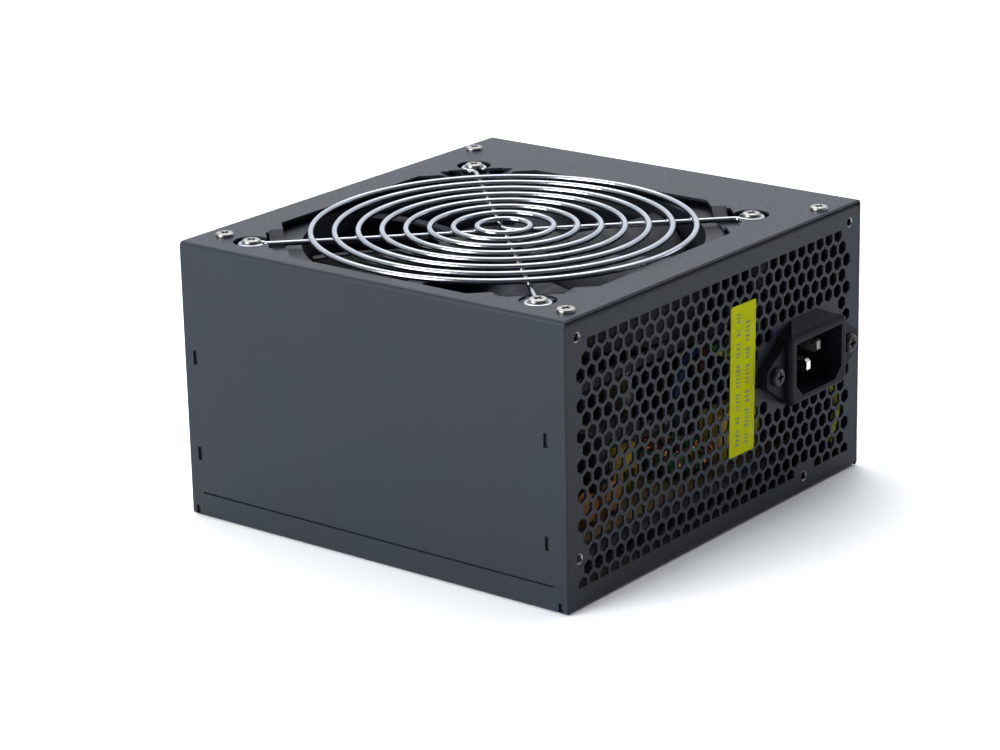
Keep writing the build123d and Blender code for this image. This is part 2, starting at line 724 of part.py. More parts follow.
# Wires between the inlet blades, the circuit board and the earth lug
mains_wire = 2.2
terminal_y = blade_back
live_wire = wire_solid([(inlet_x + 7, terminal_y, 45.2), (inlet_x + 7, -36.0, 45.2),
                        (inlet_x + 8.4, -28.0, 36.0), (inlet_x + 9.4, -26.0, 24.0),
                        (inlet_x + 9.4, -26.6, 15.5), (inlet_x + 9.4, -26.6, board_top)],
                       mains_wire, "live_wire")
finish(live_wire, "live_wire")
neutral_wire = wire_solid([(inlet_x - 7, terminal_y, 45.2), (inlet_x - 7, -39.5, 45.2),
                           (inlet_x - 8.4, -31.6, 36.0), (inlet_x - 9.4, -29.6, 24.5),
                           (inlet_x - 9.4, -30.2, 15.5), (inlet_x - 9.4, -30.2, board_top)],
                          mains_wire, "neutral_wire")
finish(neutral_wire, "neutral_wire")
lug_x, lug_y, lug_top = 68.4, -65.2, 8.4
earth_wire = wire_solid([(inlet_x, terminal_y, 40.8), (inlet_x, -38.0, 40.8),
                         (inlet_x + 7.0, -33.5, 36.0), (inlet_x + 18.0, -38.5, 33.0),
                         (69.2, -51.5, 31.0), (70.8, -62.0, 27.0), (70.6, -66.0, 20.5),
                         (lug_x, lug_y, 14.5), (lug_x, lug_y, lug_top)],
                        mains_wire, "earth_wire")
finish(earth_wire, "earth_wire")

# Earth lug: ring on the base, tab to an upright crimp barrel
ring_x, ring_y = 60.5, -60.5
tab_length = math.hypot(lug_x - ring_x, lug_y - ring_y)
tab_angle = math.degrees(math.atan2(lug_y - ring_y, lug_x - ring_x))

with BuildPart() as earth_lug:
    with BuildSketch(Plane.XY.offset(sheet)):
        with Locations((ring_x, ring_y)):
            Circle(4.0)
        with Locations(Location(((ring_x + lug_x) / 2, (ring_y + lug_y) / 2), tab_angle)):
            Rectangle(tab_length, 3.6)
        with Locations((ring_x, ring_y)):
            Circle(2.0, mode=Mode.SUBTRACT)
    extrude(amount=0.8)
    with BuildSketch(Plane.XY.offset(sheet)):
        with Locations((lug_x, lug_y)):
            Circle(1.9)
    extrude(amount=lug_top - sheet)
finish(earth_lug, "earth_lug")

with BuildPart() as earth_screw:
    with Locations((ring_x, ring_y, sheet + 0.8)):
        add(pan_screw(6.4, 2.2, 3.4, 1.5))
finish(earth_screw, "earth_screw")

# ---------------------------------------------------------------- circuit board and parts

with BuildPart() as insulation_sheet:
    with BuildSketch(Plane.XY.offset(1.4)):
        with Locations(((board_left + board_right) / 2, (board_back + board_front) / 2)):
            RectangleRounded(board_right - board_left, board_front - board_back, 2.0)
        with Locations(*standoff_places):
            Circle(3.6, mode=Mode.SUBTRACT)
    extrude(amount=0.3)
finish(insulation_sheet, "insulation_sheet")

with BuildPart() as board_standoffs:
    with BuildSketch(Plane.XY.offset(sheet)):
        with Locations(*standoff_places):
            RegularPolygon(3.0, 6)
            Circle(1.4, mode=Mode.SUBTRACT)
    extrude(amount=board_bottom - sheet)
    with BuildSketch(Plane.XY):
        with Locations(*standoff_places):
            Circle(1.6)
            Circle(1.0, mode=Mode.SUBTRACT)
    extrude(amount=sheet)
finish(board_standoffs, "board_standoffs")

with BuildPart() as circuit_board:
    with BuildSketch(Plane.XY.offset(board_bottom)):
        with Locations(((board_left + board_right) / 2, (board_back + board_front) / 2)):
            RectangleRounded(board_right - board_left, board_front - board_back, 1.5)
        with Locations(*standoff_places):
            Circle(1.6, mode=Mode.SUBTRACT)
    extrude(amount=board_top - board_bottom)
finish(circuit_board, "circuit_board")

with BuildPart() as board_screws:
    with Locations(*[(x, y, board_top) for x, y in standoff_places]):
        add(pan_screw(5.6, 1.8, 2.7, 5.0))
finish(board_screws, "board_screws")

sink_foot = board_top + 0.6
sink_top = 49.0
sink_wall = 3.0
sink_back, sink_front = -22.0, 46.0


def heatsink(wall_x, roof_side):
    """Upright aluminium plate with a slotted roof bent to one side and two solder legs."""
    with BuildPart() as sink:
        with BuildSketch(Plane.YZ.offset(wall_x)):
            with Locations(((sink_back + sink_front) / 2, sink_foot)):
                Rectangle(sink_front - sink_back, sink_top - sink_foot, align=FLAT_LOW)
            with Locations((sink_back + 6, board_top), (sink_front - 6, board_top)):
                Rectangle(2.0, 4.0, align=FLAT_LOW)
        extrude(amount=sink_wall)
        roof_centre = wall_x + sink_wall / 2 + roof_side * 7.0
        with BuildSketch(Plane.XY.offset(sink_top - sink_wall)):
            with Locations((roof_centre, (sink_back + sink_front) / 2)):
                Rectangle(14.0 + sink_wall, sink_front - sink_back)
            with Locations((roof_centre + roof_side * 4.5, (sink_back + sink_front) / 2)):
                with GridLocations(1.0, 7.5, 1, 8):
                    Rectangle(9.0, 2.4, mode=Mode.SUBTRACT)
        extrude(amount=sink_wall)
    return sink


primary_sink_x = 20.0
secondary_sink_x = -30.0
primary_heatsink = heatsink(primary_sink_x, -1)
finish(primary_heatsink, "primary_heatsink")
secondary_heatsink = heatsink(secondary_sink_x, 1)
finish(secondary_heatsink, "secondary_heatsink")


def power_package(face_x, side, y, width, height, thickness):
    """Flat semiconductor package on a heatsink face, with three leads into the board."""
    with BuildPart() as package:
        with Locations((face_x + side * thickness / 2, y, 20.0)):
            Box(thickness, width, height, align=LOW)
        with Locations((face_x + side * thickness / 2, y - 2.54, board_top),
                       (face_x + side * thickness / 2, y, board_top),
                       (face_x + side * thickness / 2, y + 2.54, board_top)):
            Box(0.6, 1.0, 13.0, align=LOW)
    return package.part


transistor_ys = [-10.0, 14.0]
diode_ys = [-12.0, 10.0, 32.0]
package_thickness = 4.6

with BuildPart() as power_transistors:
    for y in transistor_ys:
        add(power_package(primary_sink_x + sink_wall, 1, y, 15.6, 20.0, package_thickness))
finish(power_transistors, "power_transistors")

with BuildPart() as rectifier_diodes:
    for y in diode_ys:
        add(power_package(secondary_sink_x, -1, y, 10.4, 16.0, package_thickness))
finish(rectifier_diodes, "rectifier_diodes")

with BuildPart() as spring_clips:
    for y in transistor_ys:
        with Locations((primary_sink_x + sink_wall + package_thickness, y, 26.0)):
            Box(0.8, 7.0, 12.0, align=(Align.MIN, Align.CENTER, Align.MIN))
    for y in diode_ys:
        with Locations((secondary_sink_x - package_thickness, y, 24.0)):
            Box(0.8, 5.0, 10.0, align=(Align.MAX, Align.CENTER, Align.MIN))
finish(spring_clips, "spring_clips")


def wound_transformer(x, y, length, width, height):
    """Two-piece transformer: ferrite core frame and the wound bobbin inside it."""
    leg = width * 0.28
    with BuildPart() as core:
        with BuildSketch(Plane.XZ.offset(-y)):
            with Locations((x, board_top + 2.0)):
                Rectangle(length, height, align=FLAT_LOW)
            with Locations((x, board_top + 2.0 + height / 2)):
                Rectangle(length - 2 * leg, height - 2 * leg, mode=Mode.SUBTRACT)
        extrude(amount=width * 0.3, both=True)
    with BuildPart() as winding:
        with BuildSketch(Plane.XY.offset(board_top + 2.0 + leg)):
            with Locations((x, y)):
                RectangleRounded(length - 2 * leg - 0.4, width, 3.0)
        extrude(amount=height - 2 * leg)
        with BuildSketch(Plane.XY.offset(board_top)):
            with Locations((x, y - width / 2 + 2.0), (x, y + width / 2 - 2.0)):
                with GridLocations(3.6, 1.0, 4, 1):
                    Rectangle(1.0, 1.0)
        extrude(amount=2.6 + leg)
    return core, winding


transformer_core, transformer_winding = wound_transformer(-4.0, 10.0, 35.0, 30.0, 32.0)
finish(transformer_core, "transformer_core")
finish(transformer_winding, "transformer_winding")
standby_core, standby_winding = wound_transformer(-2.0, 43.0, 20.0, 18.0, 17.0)
finish(standby_core, "standby_core")
finish(standby_winding, "standby_winding")
driver_core, driver_winding = wound_transformer(-2.0, -30.0, 20.0, 18.0, 17.0)
finish(driver_core, "driver_core")
finish(driver_winding, "driver_winding")


def can_capacitors(places, diameter, height):
    """Round aluminium can capacitors standing on the board, with a rolled groove."""
    with BuildPart() as cans:
        with BuildSketch(Plane.XY.offset(board_top)):
            with Locations(*places):
                Circle(diameter / 2)
        extrude(amount=height)
        fillet(cans.edges().group_by(Axis.Z)[-1], 0.8)
        with BuildSketch(Plane.XY.offset(board_top + 2.0)):
            with Locations(*places):
                Circle(diameter / 2 + 1)
                Circle(diameter / 2 - 0.5, mode=Mode.SUBTRACT)
        extrude(amount=0.8, mode=Mode.SUBTRACT)
    return cans


bulk_capacitors = can_capacitors([(50.0, 4.0), (50.0, 30.0)], 22.0, 40.0)
finish(bulk_capacitors, "bulk_capacitors")
output_places = [(-58.0, 22.0), (-46.0, 22.0), (-58.0, 34.0), (-46.0, 34.0), (-46.0, 46.0)]
output_capacitors = can_capacitors(output_places, 10.0, 20.0)
finish(output_capacitors, "output_capacitors")


def ring_choke(x, y, ring_radius, core_half, wire_grip):
    """Flat toroid core and the copper turns around it, seen as separate loops."""
    centre_z = board_top + core_half + wire_grip + 0.5
    with BuildPart() as core:
        with Locations((x, y, centre_z)):
            Torus(ring_radius, core_half)
    turns = 14
    with BuildPart() as winding:
        for index in range(turns):
            angle = math.radians(300.0 / turns * index + 30)
            place = (x + ring_radius * math.cos(angle), y + ring_radius * math.sin(angle), centre_z)
            with Locations(Plane(origin=place, z_dir=(-math.sin(angle), math.cos(angle), 0))):
                Torus(core_half + wire_grip / 2, wire_grip / 2)
    return core, winding


choke_core, choke_winding = ring_choke(-50.5, -4.0, 9.6, 3.6, 1.2)
finish(choke_core, "choke_core")
finish(choke_winding, "choke_winding")
emi_core, emi_winding = ring_choke(22.0, -38.0, 8.2, 3.0, 1.1)
finish(emi_core, "emi_core")
finish(emi_winding, "emi_winding")

with BuildPart() as x_capacitor:
    with Locations((44.0, -43.5, board_top)):
        Box(22.0, 8.0, 15.0, align=LOW)
    fillet(x_capacitor.edges().filter_by(Axis.Z), 0.8)
finish(x_capacitor, "x_capacitor")

with BuildPart() as bridge_rectifier:
    with Locations((61.0, -16.0, board_top + 5.0)):
        Box(4.6, 20.0, 15.0, align=LOW)
    with Locations((61.0, -16.0, board_top)):
        with GridLocations(1.0, 5.0, 1, 4):
            Box(0.8, 1.2, 6.0, align=LOW)
finish(bridge_rectifier, "bridge_rectifier")

fuse_axis_z = board_top + 4.0

with BuildPart() as fuse:
    with Locations(Plane(origin=(34.0, -20.0, fuse_axis_z), z_dir=(1, 0, 0))):
        Cylinder(2.5, 20.0, align=LOW)
finish(fuse, "fuse")

with BuildPart() as fuse_clips:
    for x in (36.5, 51.5):
        with BuildSketch(Plane.YZ.offset(x - 1.5)):
            with Locations((-20.0, board_top)):
                Rectangle(7.0, 7.0, align=FLAT_LOW)
            with Locations((-20.0, fuse_axis_z)):
                Circle(2.5, mode=Mode.SUBTRACT)
                with Locations((0, 3.0)):
                    Rectangle(3.0, 6.0, mode=Mode.SUBTRACT)
        extrude(amount=3.0)
finish(fuse_clips, "fuse_clips")

with BuildPart() as y_capacitors:
    with BuildSketch(Plane.XZ.offset(44.0)):
        with Locations((-20.0, board_top + 5.5), (-32.0, board_top + 5.5)):
            Circle(4.2)
            with Locations((-2.5, -5.5), (2.5, -5.5)):
                Rectangle(0.8, 4.0, align=FLAT_LOW)
    extrude(amount=2.4)
finish(y_capacitors, "y_capacitors")

with BuildPart() as control_chip:
    with Locations((-50.0, -34.0, board_top + 0.6)):
        Box(20.0, 6.4, 3.6, align=LOW)
    with Locations((-50.0, -37.4, board_top), (-50.0, -30.6, board_top)):
        with GridLocations(2.54, 1.0, 8, 1):
            Box(0.6, 0.6, 2.4, align=LOW)
finish(control_chip, "control_chip")

with BuildPart() as fan_header:
    with Locations((header_x, header_y, board_top)):
        Box(7.5, 5.8, 6.0, align=LOW)
finish(fan_header, "fan_header")

with BuildPart() as fan_plug:
    with Locations((header_x, header_y, board_top + 6.0)):
        Box(6.6, 4.8, plug_top - board_top - 6.0, align=LOW)
    fillet(fan_plug.edges().filter_by(Axis.Z), 0.4)
finish(fan_plug, "fan_plug")

# Rubber bushing in the cable outlet of the front panel
with BuildPart() as cable_grommet:
    with BuildSketch(Plane.XZ.offset(rear - 1.6)):
        with Locations((outlet_x, outlet_z)):
            SlotOverall(outlet_width + 3.0, outlet_height + 3.0)
    extrude(amount=1.6)
    with BuildSketch(Plane.XZ.offset(rear - 1.6)):
        with Locations((outlet_x, outlet_z)):
            SlotOverall(outlet_width - 0.1, outlet_height - 0.1)
    extrude(amount=4.0)
    with BuildSketch(Plane.XZ.offset(rear + sheet)):
        with Locations((outlet_x, outlet_z)):
            SlotOverall(outlet_width + 3.0, outlet_height + 3.0)
    extrude(amount=1.6)
    with BuildSketch(Plane.XZ.offset(rear - 1.6)):
        with Locations((outlet_x, outlet_z)):
            SlotOverall(outlet_width - 4.0, outlet_height - 4.0)
    extrude(amount=4.0, mode=Mode.SUBTRACT)
finish(cable_grommet, "cable_grommet")
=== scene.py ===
import json
import math
import random

import bmesh
import bpy
from mathutils import Matrix, Quaternion, Vector


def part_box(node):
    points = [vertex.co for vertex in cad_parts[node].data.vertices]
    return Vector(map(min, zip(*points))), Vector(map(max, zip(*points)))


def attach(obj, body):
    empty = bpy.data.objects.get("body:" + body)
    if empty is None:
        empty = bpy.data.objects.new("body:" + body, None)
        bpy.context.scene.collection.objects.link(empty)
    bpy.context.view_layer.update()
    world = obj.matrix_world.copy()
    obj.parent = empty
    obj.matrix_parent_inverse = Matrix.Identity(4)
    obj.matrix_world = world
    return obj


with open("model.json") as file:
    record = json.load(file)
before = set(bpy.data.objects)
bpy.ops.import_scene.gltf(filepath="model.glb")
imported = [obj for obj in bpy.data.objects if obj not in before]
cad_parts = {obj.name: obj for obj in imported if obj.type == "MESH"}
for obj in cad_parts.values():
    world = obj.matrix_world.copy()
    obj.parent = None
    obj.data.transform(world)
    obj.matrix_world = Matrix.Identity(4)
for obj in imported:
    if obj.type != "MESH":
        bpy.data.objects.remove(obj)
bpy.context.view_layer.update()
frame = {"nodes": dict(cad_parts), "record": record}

# A desktop computer power supply on a pale floor. Every length is in metres, in the frame of
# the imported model: +Z up, the honeycomb face and the mains inlet towards -Y.

nodes = frame["nodes"]
FAN_X = frame["record"]["behaviour"]["joints"][0]["pos_m"][0]
MM = 0.001
REAR = -70.0 * MM
rng = random.Random(7)


# ---------------------------------------------------------------- camera, floor and lights

CAMERA_PLACE = Vector((-0.7296, -0.5631, 0.3413))
CAMERA_TARGET = Vector((-0.0057, 0.0063, 0.0368))
CAMERA_ROLL = math.radians(-1.21)
CAMERA_LENS = 115.82

# The floor is a square of this half side, just under the part
FLOOR_HALF = 6.0
FLOOR_DROP = 0.2 * MM

# The studio is brightest behind and above the part, to the right
BRIGHT_SIDE = (0.62, 0.50, 0.60)
BRIGHT_COLOUR = (1.33, 1.40, 1.50, 1)
DARK_COLOUR = (0.07, 0.08, 0.10, 1)
PART_MIDDLE = (0, 0, 0.04)


def make_camera():
    data = bpy.data.cameras.new("camera")
    data.lens = CAMERA_LENS
    data.sensor_width = 36.0
    data.clip_start = 0.01
    camera = bpy.data.objects.new("camera", data)
    bpy.context.scene.collection.objects.link(camera)
    look = (CAMERA_TARGET - CAMERA_PLACE).to_track_quat("-Z", "Y")
    camera.rotation_mode = "QUATERNION"
    camera.rotation_quaternion = look @ Quaternion((0, 0, 1), CAMERA_ROLL)
    camera.location = CAMERA_PLACE
    bpy.context.scene.camera = camera


def area_light(name, place, size, power, colour):
    """Rectangular light aimed at the middle of the part."""
    data = bpy.data.lights.new(name, "AREA")
    data.shape = "RECTANGLE"
    data.size, data.size_y = size
    data.energy = power
    data.color = colour
    light = bpy.data.objects.new(name, data)
    light.location = place
    light.rotation_mode = "QUATERNION"
    light.rotation_quaternion = (Vector(PART_MIDDLE) - Vector(place)).to_track_quat("-Z", "Y")
    bpy.context.scene.collection.objects.link(light)


def soft_sun(name, toward, strength, spread):
    """Even light over the whole floor; toward points from the part to the light, spread is the
    angle that the light fills, in radians."""
    data = bpy.data.lights.new(name, "SUN")
    data.energy = strength
    data.angle = spread
    light = bpy.data.objects.new(name, data)
    light.rotation_mode = "QUATERNION"
    light.rotation_quaternion = Vector(toward).to_track_quat("Z", "Y")
    bpy.context.scene.collection.objects.link(light)


def make_stage():
    mesh = bpy.data.meshes.new("floor")
    half = FLOOR_HALF
    mesh.from_pydata([(-half, -half, 0), (half, -half, 0), (half, half, 0), (-half, half, 0)], [],
                     [(0, 1, 2, 3)])
    floor = bpy.data.objects.new("floor", mesh)
    floor.location.z = -FLOOR_DROP
    bpy.context.scene.collection.objects.link(floor)
    material, shader = new_material("floor_paper")
    shader.inputs["Base Color"].default_value = (0.96, 0.96, 0.96, 1)
    shader.inputs["Roughness"].default_value = 0.9
    shader.inputs["Specular IOR Level"].default_value = 0.1
    mesh.materials.append(material)


def make_lights():
    world = bpy.data.worlds.new("studio")
    bpy.context.scene.world = world
    world.use_nodes = True
    tree = world.node_tree
    background = tree.nodes["Background"]
    background.inputs["Strength"].default_value = 1.0
    coords = tree.nodes.new("ShaderNodeTexCoord")
    toward = tree.nodes.new("ShaderNodeVectorMath")
    toward.operation = "DOT_PRODUCT"
    toward.inputs[1].default_value = BRIGHT_SIDE
    ramp = tree.nodes.new("ShaderNodeValToRGB")
    tree.links.new(coords.outputs["Generated"], toward.inputs[0])
    tree.links.new(toward.outputs["Value"], ramp.inputs["Fac"])
    tree.links.new(ramp.outputs["Color"], background.inputs["Color"])
    dark, bright = ramp.color_ramp.elements
    dark.color, dark.position = DARK_COLOUR, 0.0
    bright.color, bright.position = BRIGHT_COLOUR, 0.95
    area_light("key", (0.9, 0.9, 1.5), (1.2, 0.7), 9.0, (0.95, 0.97, 1.0))
    area_light("left", (-1.6, 0.5, 0.7), (1.0, 1.0), 50.0, (0.96, 0.98, 1.0))
    area_light("right", (1.5, -0.92, 0.12), (0.5, 0.2), 2.2, (0.94, 0.97, 1.0))
    soft_sun("sky", (0.35, 0.25, 1.0), 1.2, math.radians(70))
    bpy.context.scene.view_settings.view_transform = "Standard"
    bpy.context.scene.view_settings.look = "None"


# ---------------------------------------------------------------- materials


def new_material(name):
    material = bpy.data.materials.new(name)
    material.use_nodes = True
    return material, material.node_tree.nodes["Principled BSDF"]


def add_node(material, kind, **values):
    node = material.node_tree.nodes.new(kind)
    for key, value in values.items():
        if key in node.inputs:
            node.inputs[key].default_value = value
        else:
            setattr(node, key, value)
    return node


def link(material, source, target):
    material.node_tree.links.new(source, target)


def object_coords(material, scale=(1, 1, 1)):
    """The object's own coordinates, in metres, scaled per axis."""
    coords = add_node(material, "ShaderNodeTexCoord")
    mapping = add_node(material, "ShaderNodeMapping")
    mapping.inputs["Scale"].default_value = scale
    link(material, coords.outputs["Object"], mapping.inputs["Vector"])
    return mapping.outputs["Vector"]


def noise(material, size, detail=2.0, roughness=0.5, stretch=(1, 1, 1)):
    """Noise whose features are about size metres across."""
    node = add_node(material, "ShaderNodeTexNoise", Scale=1.0 / size, Detail=detail)
    node.inputs["Roughness"].default_value = roughness
    link(material, object_coords(material, stretch), node.inputs["Vector"])
    return node.outputs["Fac"]


def ramp(material, factor, stops):
    """Colour ramp through (position, colour) stops; a single number makes a grey."""
    node = add_node(material, "ShaderNodeValToRGB")
    elements = node.color_ramp.elements
    while len(elements) < len(stops):
        elements.new(0.5)
    for element, (position, colour) in zip(elements, stops):
        element.position = position
        if isinstance(colour, (int, float)):
            colour = (colour, colour, colour)
        element.color = (*colour, 1)
    link(material, factor, node.inputs["Fac"])
    return node.outputs["Color"]


def mix(material, factor, first, second, blend="MIX"):
    """Mix two colours; first and second are sockets or plain colours."""
    node = add_node(material, "ShaderNodeMix", data_type="RGBA", blend_type=blend)
    for socket, value in ((node.inputs[0], factor), (node.inputs[6], first), (node.inputs[7], second)):
        if isinstance(value, bpy.types.NodeSocket):
            link(material, value, socket)
        elif isinstance(value, (int, float)):
            socket.default_value = value
        else:
            socket.default_value = (*value, 1)
    return node.outputs[2]


def bump(material, shader, height, distance, strength=1.0):
    node = add_node(material, "ShaderNodeBump", Strength=strength, Distance=distance)
    link(material, height, node.inputs["Height"])
    previous = shader.inputs["Normal"]
    if previous.is_linked:
        link(material, previous.links[0].from_socket, node.inputs["Normal"])
    link(material, node.outputs["Normal"], shader.inputs["Normal"])


def shade(colour, gain):
    return tuple(min(1.0, channel * gain) for channel in colour)


def plain_finish(name, colour, roughness, metallic=0.0, grain=0.4 * MM, grain_depth=0.01 * MM,
                 variation=0.12, specular=0.5):
    """Colour with slight mottling, uneven gloss and a fine surface grain."""
    material, shader = new_material(name)
    tone = noise(material, 6 * MM, detail=3.0)
    colours = ramp(material, tone, [(0.3, shade(colour, 1 - variation)),
                                    (0.7, shade(colour, 1 + variation))])
    link(material, colours, shader.inputs["Base Color"])
    gloss = ramp(material, noise(material, 3 * MM), [(0.3, roughness * 0.88),
                                                     (0.7, min(1.0, roughness * 1.12))])
    link(material, gloss, shader.inputs["Roughness"])
    shader.inputs["Metallic"].default_value = metallic
    shader.inputs["Specular IOR Level"].default_value = specular
    bump(material, shader, noise(material, grain, detail=1.0), grain_depth)
    return material


def case_paint():
    """Satin dark grey enamel: a fine metallic fleck and a soft orange peel."""
    material, shader = new_material("case_paint")
    fleck = noise(material, 0.22 * MM, detail=1.0)
    drift = noise(material, 28 * MM, detail=2.0)
    base = ramp(material, fleck, [(0.35, (0.0155, 0.0185, 0.0235)), (0.65, (0.0235, 0.0275, 0.0340))])
    warm = ramp(material, drift, [(0.35, (1.0, 0.98, 0.94)), (0.65, (0.93, 0.98, 1.05))])
    colours = mix(material, 1.0, base, warm, "MULTIPLY")
    link(material, colours, shader.inputs["Base Color"])
    gloss = ramp(material, noise(material, 1.2 * MM), [(0.3, 0.38), (0.7, 0.46)])
    link(material, gloss, shader.inputs["Roughness"])
    shader.inputs["Specular IOR Level"].default_value = 0.12
    bump(material, shader, noise(material, 0.5 * MM, detail=1.0), 0.012 * MM)
    return material


def chrome_plate():
    material, shader = new_material("chrome_plate")
    tone = noise(material, 9 * MM, detail=2.0)
    link(material, ramp(material, tone, [(0.3, (0.32, 0.335, 0.36)), (0.7, (0.39, 0.405, 0.435))]),
         shader.inputs["Base Color"])
    link(material, ramp(material, noise(material, 5 * MM), [(0.3, 0.16), (0.7, 0.24)]),
         shader.inputs["Roughness"])
    shader.inputs["Metallic"].default_value = 1.0
    bump(material, shader, noise(material, 1.4 * MM, detail=1.0), 0.003 * MM)
    return material


# Scale of the wave that stripes the earth wire: a stripe about every 10 mm along X
STRIPE_SCALE = 1.0 / (5 * MM) / 6.283


def striped_insulation(name, ground, stripe):
    """Wire insulation with coloured stripes across it."""
    material, shader = new_material(name)
    wave = add_node(material, "ShaderNodeTexWave", Scale=STRIPE_SCALE, Distortion=0.4)
    link(material, object_coords(material), wave.inputs["Vector"])
    bands = ramp(material, wave.outputs["Fac"], [(0.66, ground), (0.72, stripe)])
    link(material, bands, shader.inputs["Base Color"])
    shader.inputs["Roughness"].default_value = 0.4
    bump(material, shader, noise(material, 0.6 * MM), 0.01 * MM)
    return material


def tape_finish(name, colour):
    """Polyester tape in thin overlapping layers."""
    material, shader = new_material(name)
    layers = noise(material, 1.6 * MM, detail=1.0, stretch=(0.15, 0.15, 2.0))
    link(material, ramp(material, layers, [(0.35, shade(colour, 0.75)), (0.6, shade(colour, 1.1))]),
         shader.inputs["Base Color"])
    shader.inputs["Roughness"].default_value = 0.35
    bump(material, shader, layers, 0.04 * MM)
    return material


def brushed_metal(name, colour, roughness, stretch):
    material, shader = new_material(name)
    lines = noise(material, 0.5 * MM, detail=2.0, stretch=stretch)
    link(material, ramp(material, lines, [(0.3, shade(colour, 0.85)), (0.7, shade(colour, 1.1))]),
         shader.inputs["Base Color"])
    link(material, ramp(material, lines, [(0.3, roughness * 0.8), (0.7, roughness * 1.2)]),
         shader.inputs["Roughness"])
    shader.inputs["Metallic"].default_value = 1.0
    bump(material, shader, lines, 0.008 * MM)
    return material


def board_finish():
    """Tan phenolic board with its faint paper grain and slightly darker, uneven patches."""
    material, shader = new_material("board_finish")
    grain = noise(material, 0.8 * MM, detail=3.0, stretch=(0.3, 1.0, 1.0))
    cloud = noise(material, 18 * MM, detail=2.0)
    base = ramp(material, grain, [(0.3, (0.15, 0.10, 0.040)), (0.7, (0.22, 0.155, 0.068))])
    tint = ramp(material, cloud, [(0.3, 0.85), (0.7, 1.0)])
    link(material, mix(material, 1.0, base, tint, "MULTIPLY"), shader.inputs["Base Color"])
    shader.inputs["Roughness"].default_value = 0.5
    bump(material, shader, grain, 0.015 * MM)
    return material


def label_paper():
    material, shader = new_material("label_paper")
    tone = noise(material, 5 * MM, detail=3.0)
    link(material, ramp(material, tone, [(0.3, (0.365, 0.388, 0.001)), (0.7, (0.42, 0.445, 0.002))]),
         shader.inputs["Base Color"])
    shader.inputs["Roughness"].default_value = 0.7
    shader.inputs["Specular IOR Level"].default_value = 0.03
    bump(material, shader, noise(material, 0.3 * MM), 0.01 * MM)
    return material


MATERIALS = {
    "case_paint": case_paint(),
    "guard_chrome": chrome_plate(),
    "screw_nickel": plain_finish("screw_nickel", (0.29, 0.28, 0.262), 0.30, 1.0),
    "screw_black": plain_finish("screw_black", (0.006, 0.006, 0.008), 0.36, specular=0.22),
    "fan_plastic": plain_finish("fan_plastic", (0.0055, 0.0080, 0.0125), 0.46, specular=0.16),
    "inlet_plastic": plain_finish("inlet_plastic", (0.0055, 0.0068, 0.0095), 0.42, specular=0.06),
    "pin_metal": plain_finish("pin_metal", (0.88, 0.86, 0.80), 0.27, 1.0),
    "label_paper": label_paper(),
    "circuit_board": board_finish(),
    "ferrite": plain_finish("ferrite", (0.03, 0.03, 0.033), 0.7),
    "winding_tape": tape_finish("winding_tape", (0.62, 0.46, 0.04)),
    "copper_wire": plain_finish("copper_wire", (0.62, 0.23, 0.08), 0.25, 0.9),
    "choke_coating": plain_finish("choke_coating", (0.55, 0.50, 0.08), 0.4),
    "emi_coating": plain_finish("emi_coating", (0.03, 0.18, 0.07), 0.4),
    "capacitor_black": plain_finish("capacitor_black", (0.015, 0.016, 0.02), 0.28),
    "capacitor_brown": plain_finish("capacitor_brown", (0.09, 0.035, 0.02), 0.28),
    "film_capacitor": plain_finish("film_capacitor", (0.62, 0.47, 0.03), 0.35),
    "disc_capacitor": plain_finish("disc_capacitor", (0.42, 0.20, 0.05), 0.3),
    "heatsink_metal": brushed_metal("heatsink_metal", (0.62, 0.62, 0.62), 0.35, (3, 0.15, 3)),
    "chip_plastic": plain_finish("chip_plastic", (0.018, 0.018, 0.019), 0.55),
    "plain_steel": brushed_metal("plain_steel", (0.5, 0.5, 0.5), 0.3, (1, 1, 0.2)),
    "standoff_brass": brushed_metal("standoff_brass", (0.66, 0.46, 0.16), 0.28, (1, 1, 3)),
    "fuse_ceramic": plain_finish("fuse_ceramic", (0.75, 0.73, 0.68), 0.35),
    "wire_red": plain_finish("wire_red", (0.5, 0.015, 0.015), 0.4),
    "wire_black": plain_finish("wire_black", (0.02, 0.02, 0.02), 0.4),
    "wire_brown": plain_finish("wire_brown", (0.13, 0.05, 0.02), 0.4),
    "wire_blue": plain_finish("wire_blue", (0.02, 0.05, 0.15), 0.4),
    "wire_earth": striped_insulation("wire_earth", (0.72, 0.76, 0.05), (0.10, 0.36, 0.04)),
    "connector_white": plain_finish("connector_white", (0.72, 0.69, 0.60), 0.45),
    "insulation_film": plain_finish("insulation_film", (0.6, 0.61, 0.62), 0.3),
    "grommet_rubber": plain_finish("grommet_rubber", (0.018, 0.018, 0.018), 0.7),
}


def paint_nodes():
    for part in frame["record"]["subparts"]:
        material = MATERIALS[part["material_slot"]]
        mesh = nodes[part["node"]].data
        mesh.materials.clear()
        mesh.materials.append(material)


# Softened edges on the pieces that are seen, as (node, width in metres, segments)
EDGE_SOFTENING = [
    ("top_cover", 0.12 * MM, 2), ("base_tray", 0.12 * MM, 2), ("rear_panel", 0.10 * MM, 1),
    ("front_panel", 0.10 * MM, 1), ("inlet_body", 0.25 * MM, 2), ("inlet_pins", 0.15 * MM, 2),
    ("cover_screws", 0.08 * MM, 2), ("guard_screws", 0.08 * MM, 2), ("inlet_screws", 0.08 * MM, 2),
    ("fan_frame", 0.25 * MM, 2), ("cable_grommet", 0.3 * MM, 2),
]


def soften_edges():
    for name, width, segments in EDGE_SOFTENING:
        modifier = nodes[name].modifiers.new("soft_edges", "BEVEL")
        modifier.width = width
        modifier.segments = segments
        modifier.limit_method = "ANGLE"
        modifier.angle_limit = math.radians(40)
        modifier.use_clamp_overlap = True
        modifier.harden_normals = False


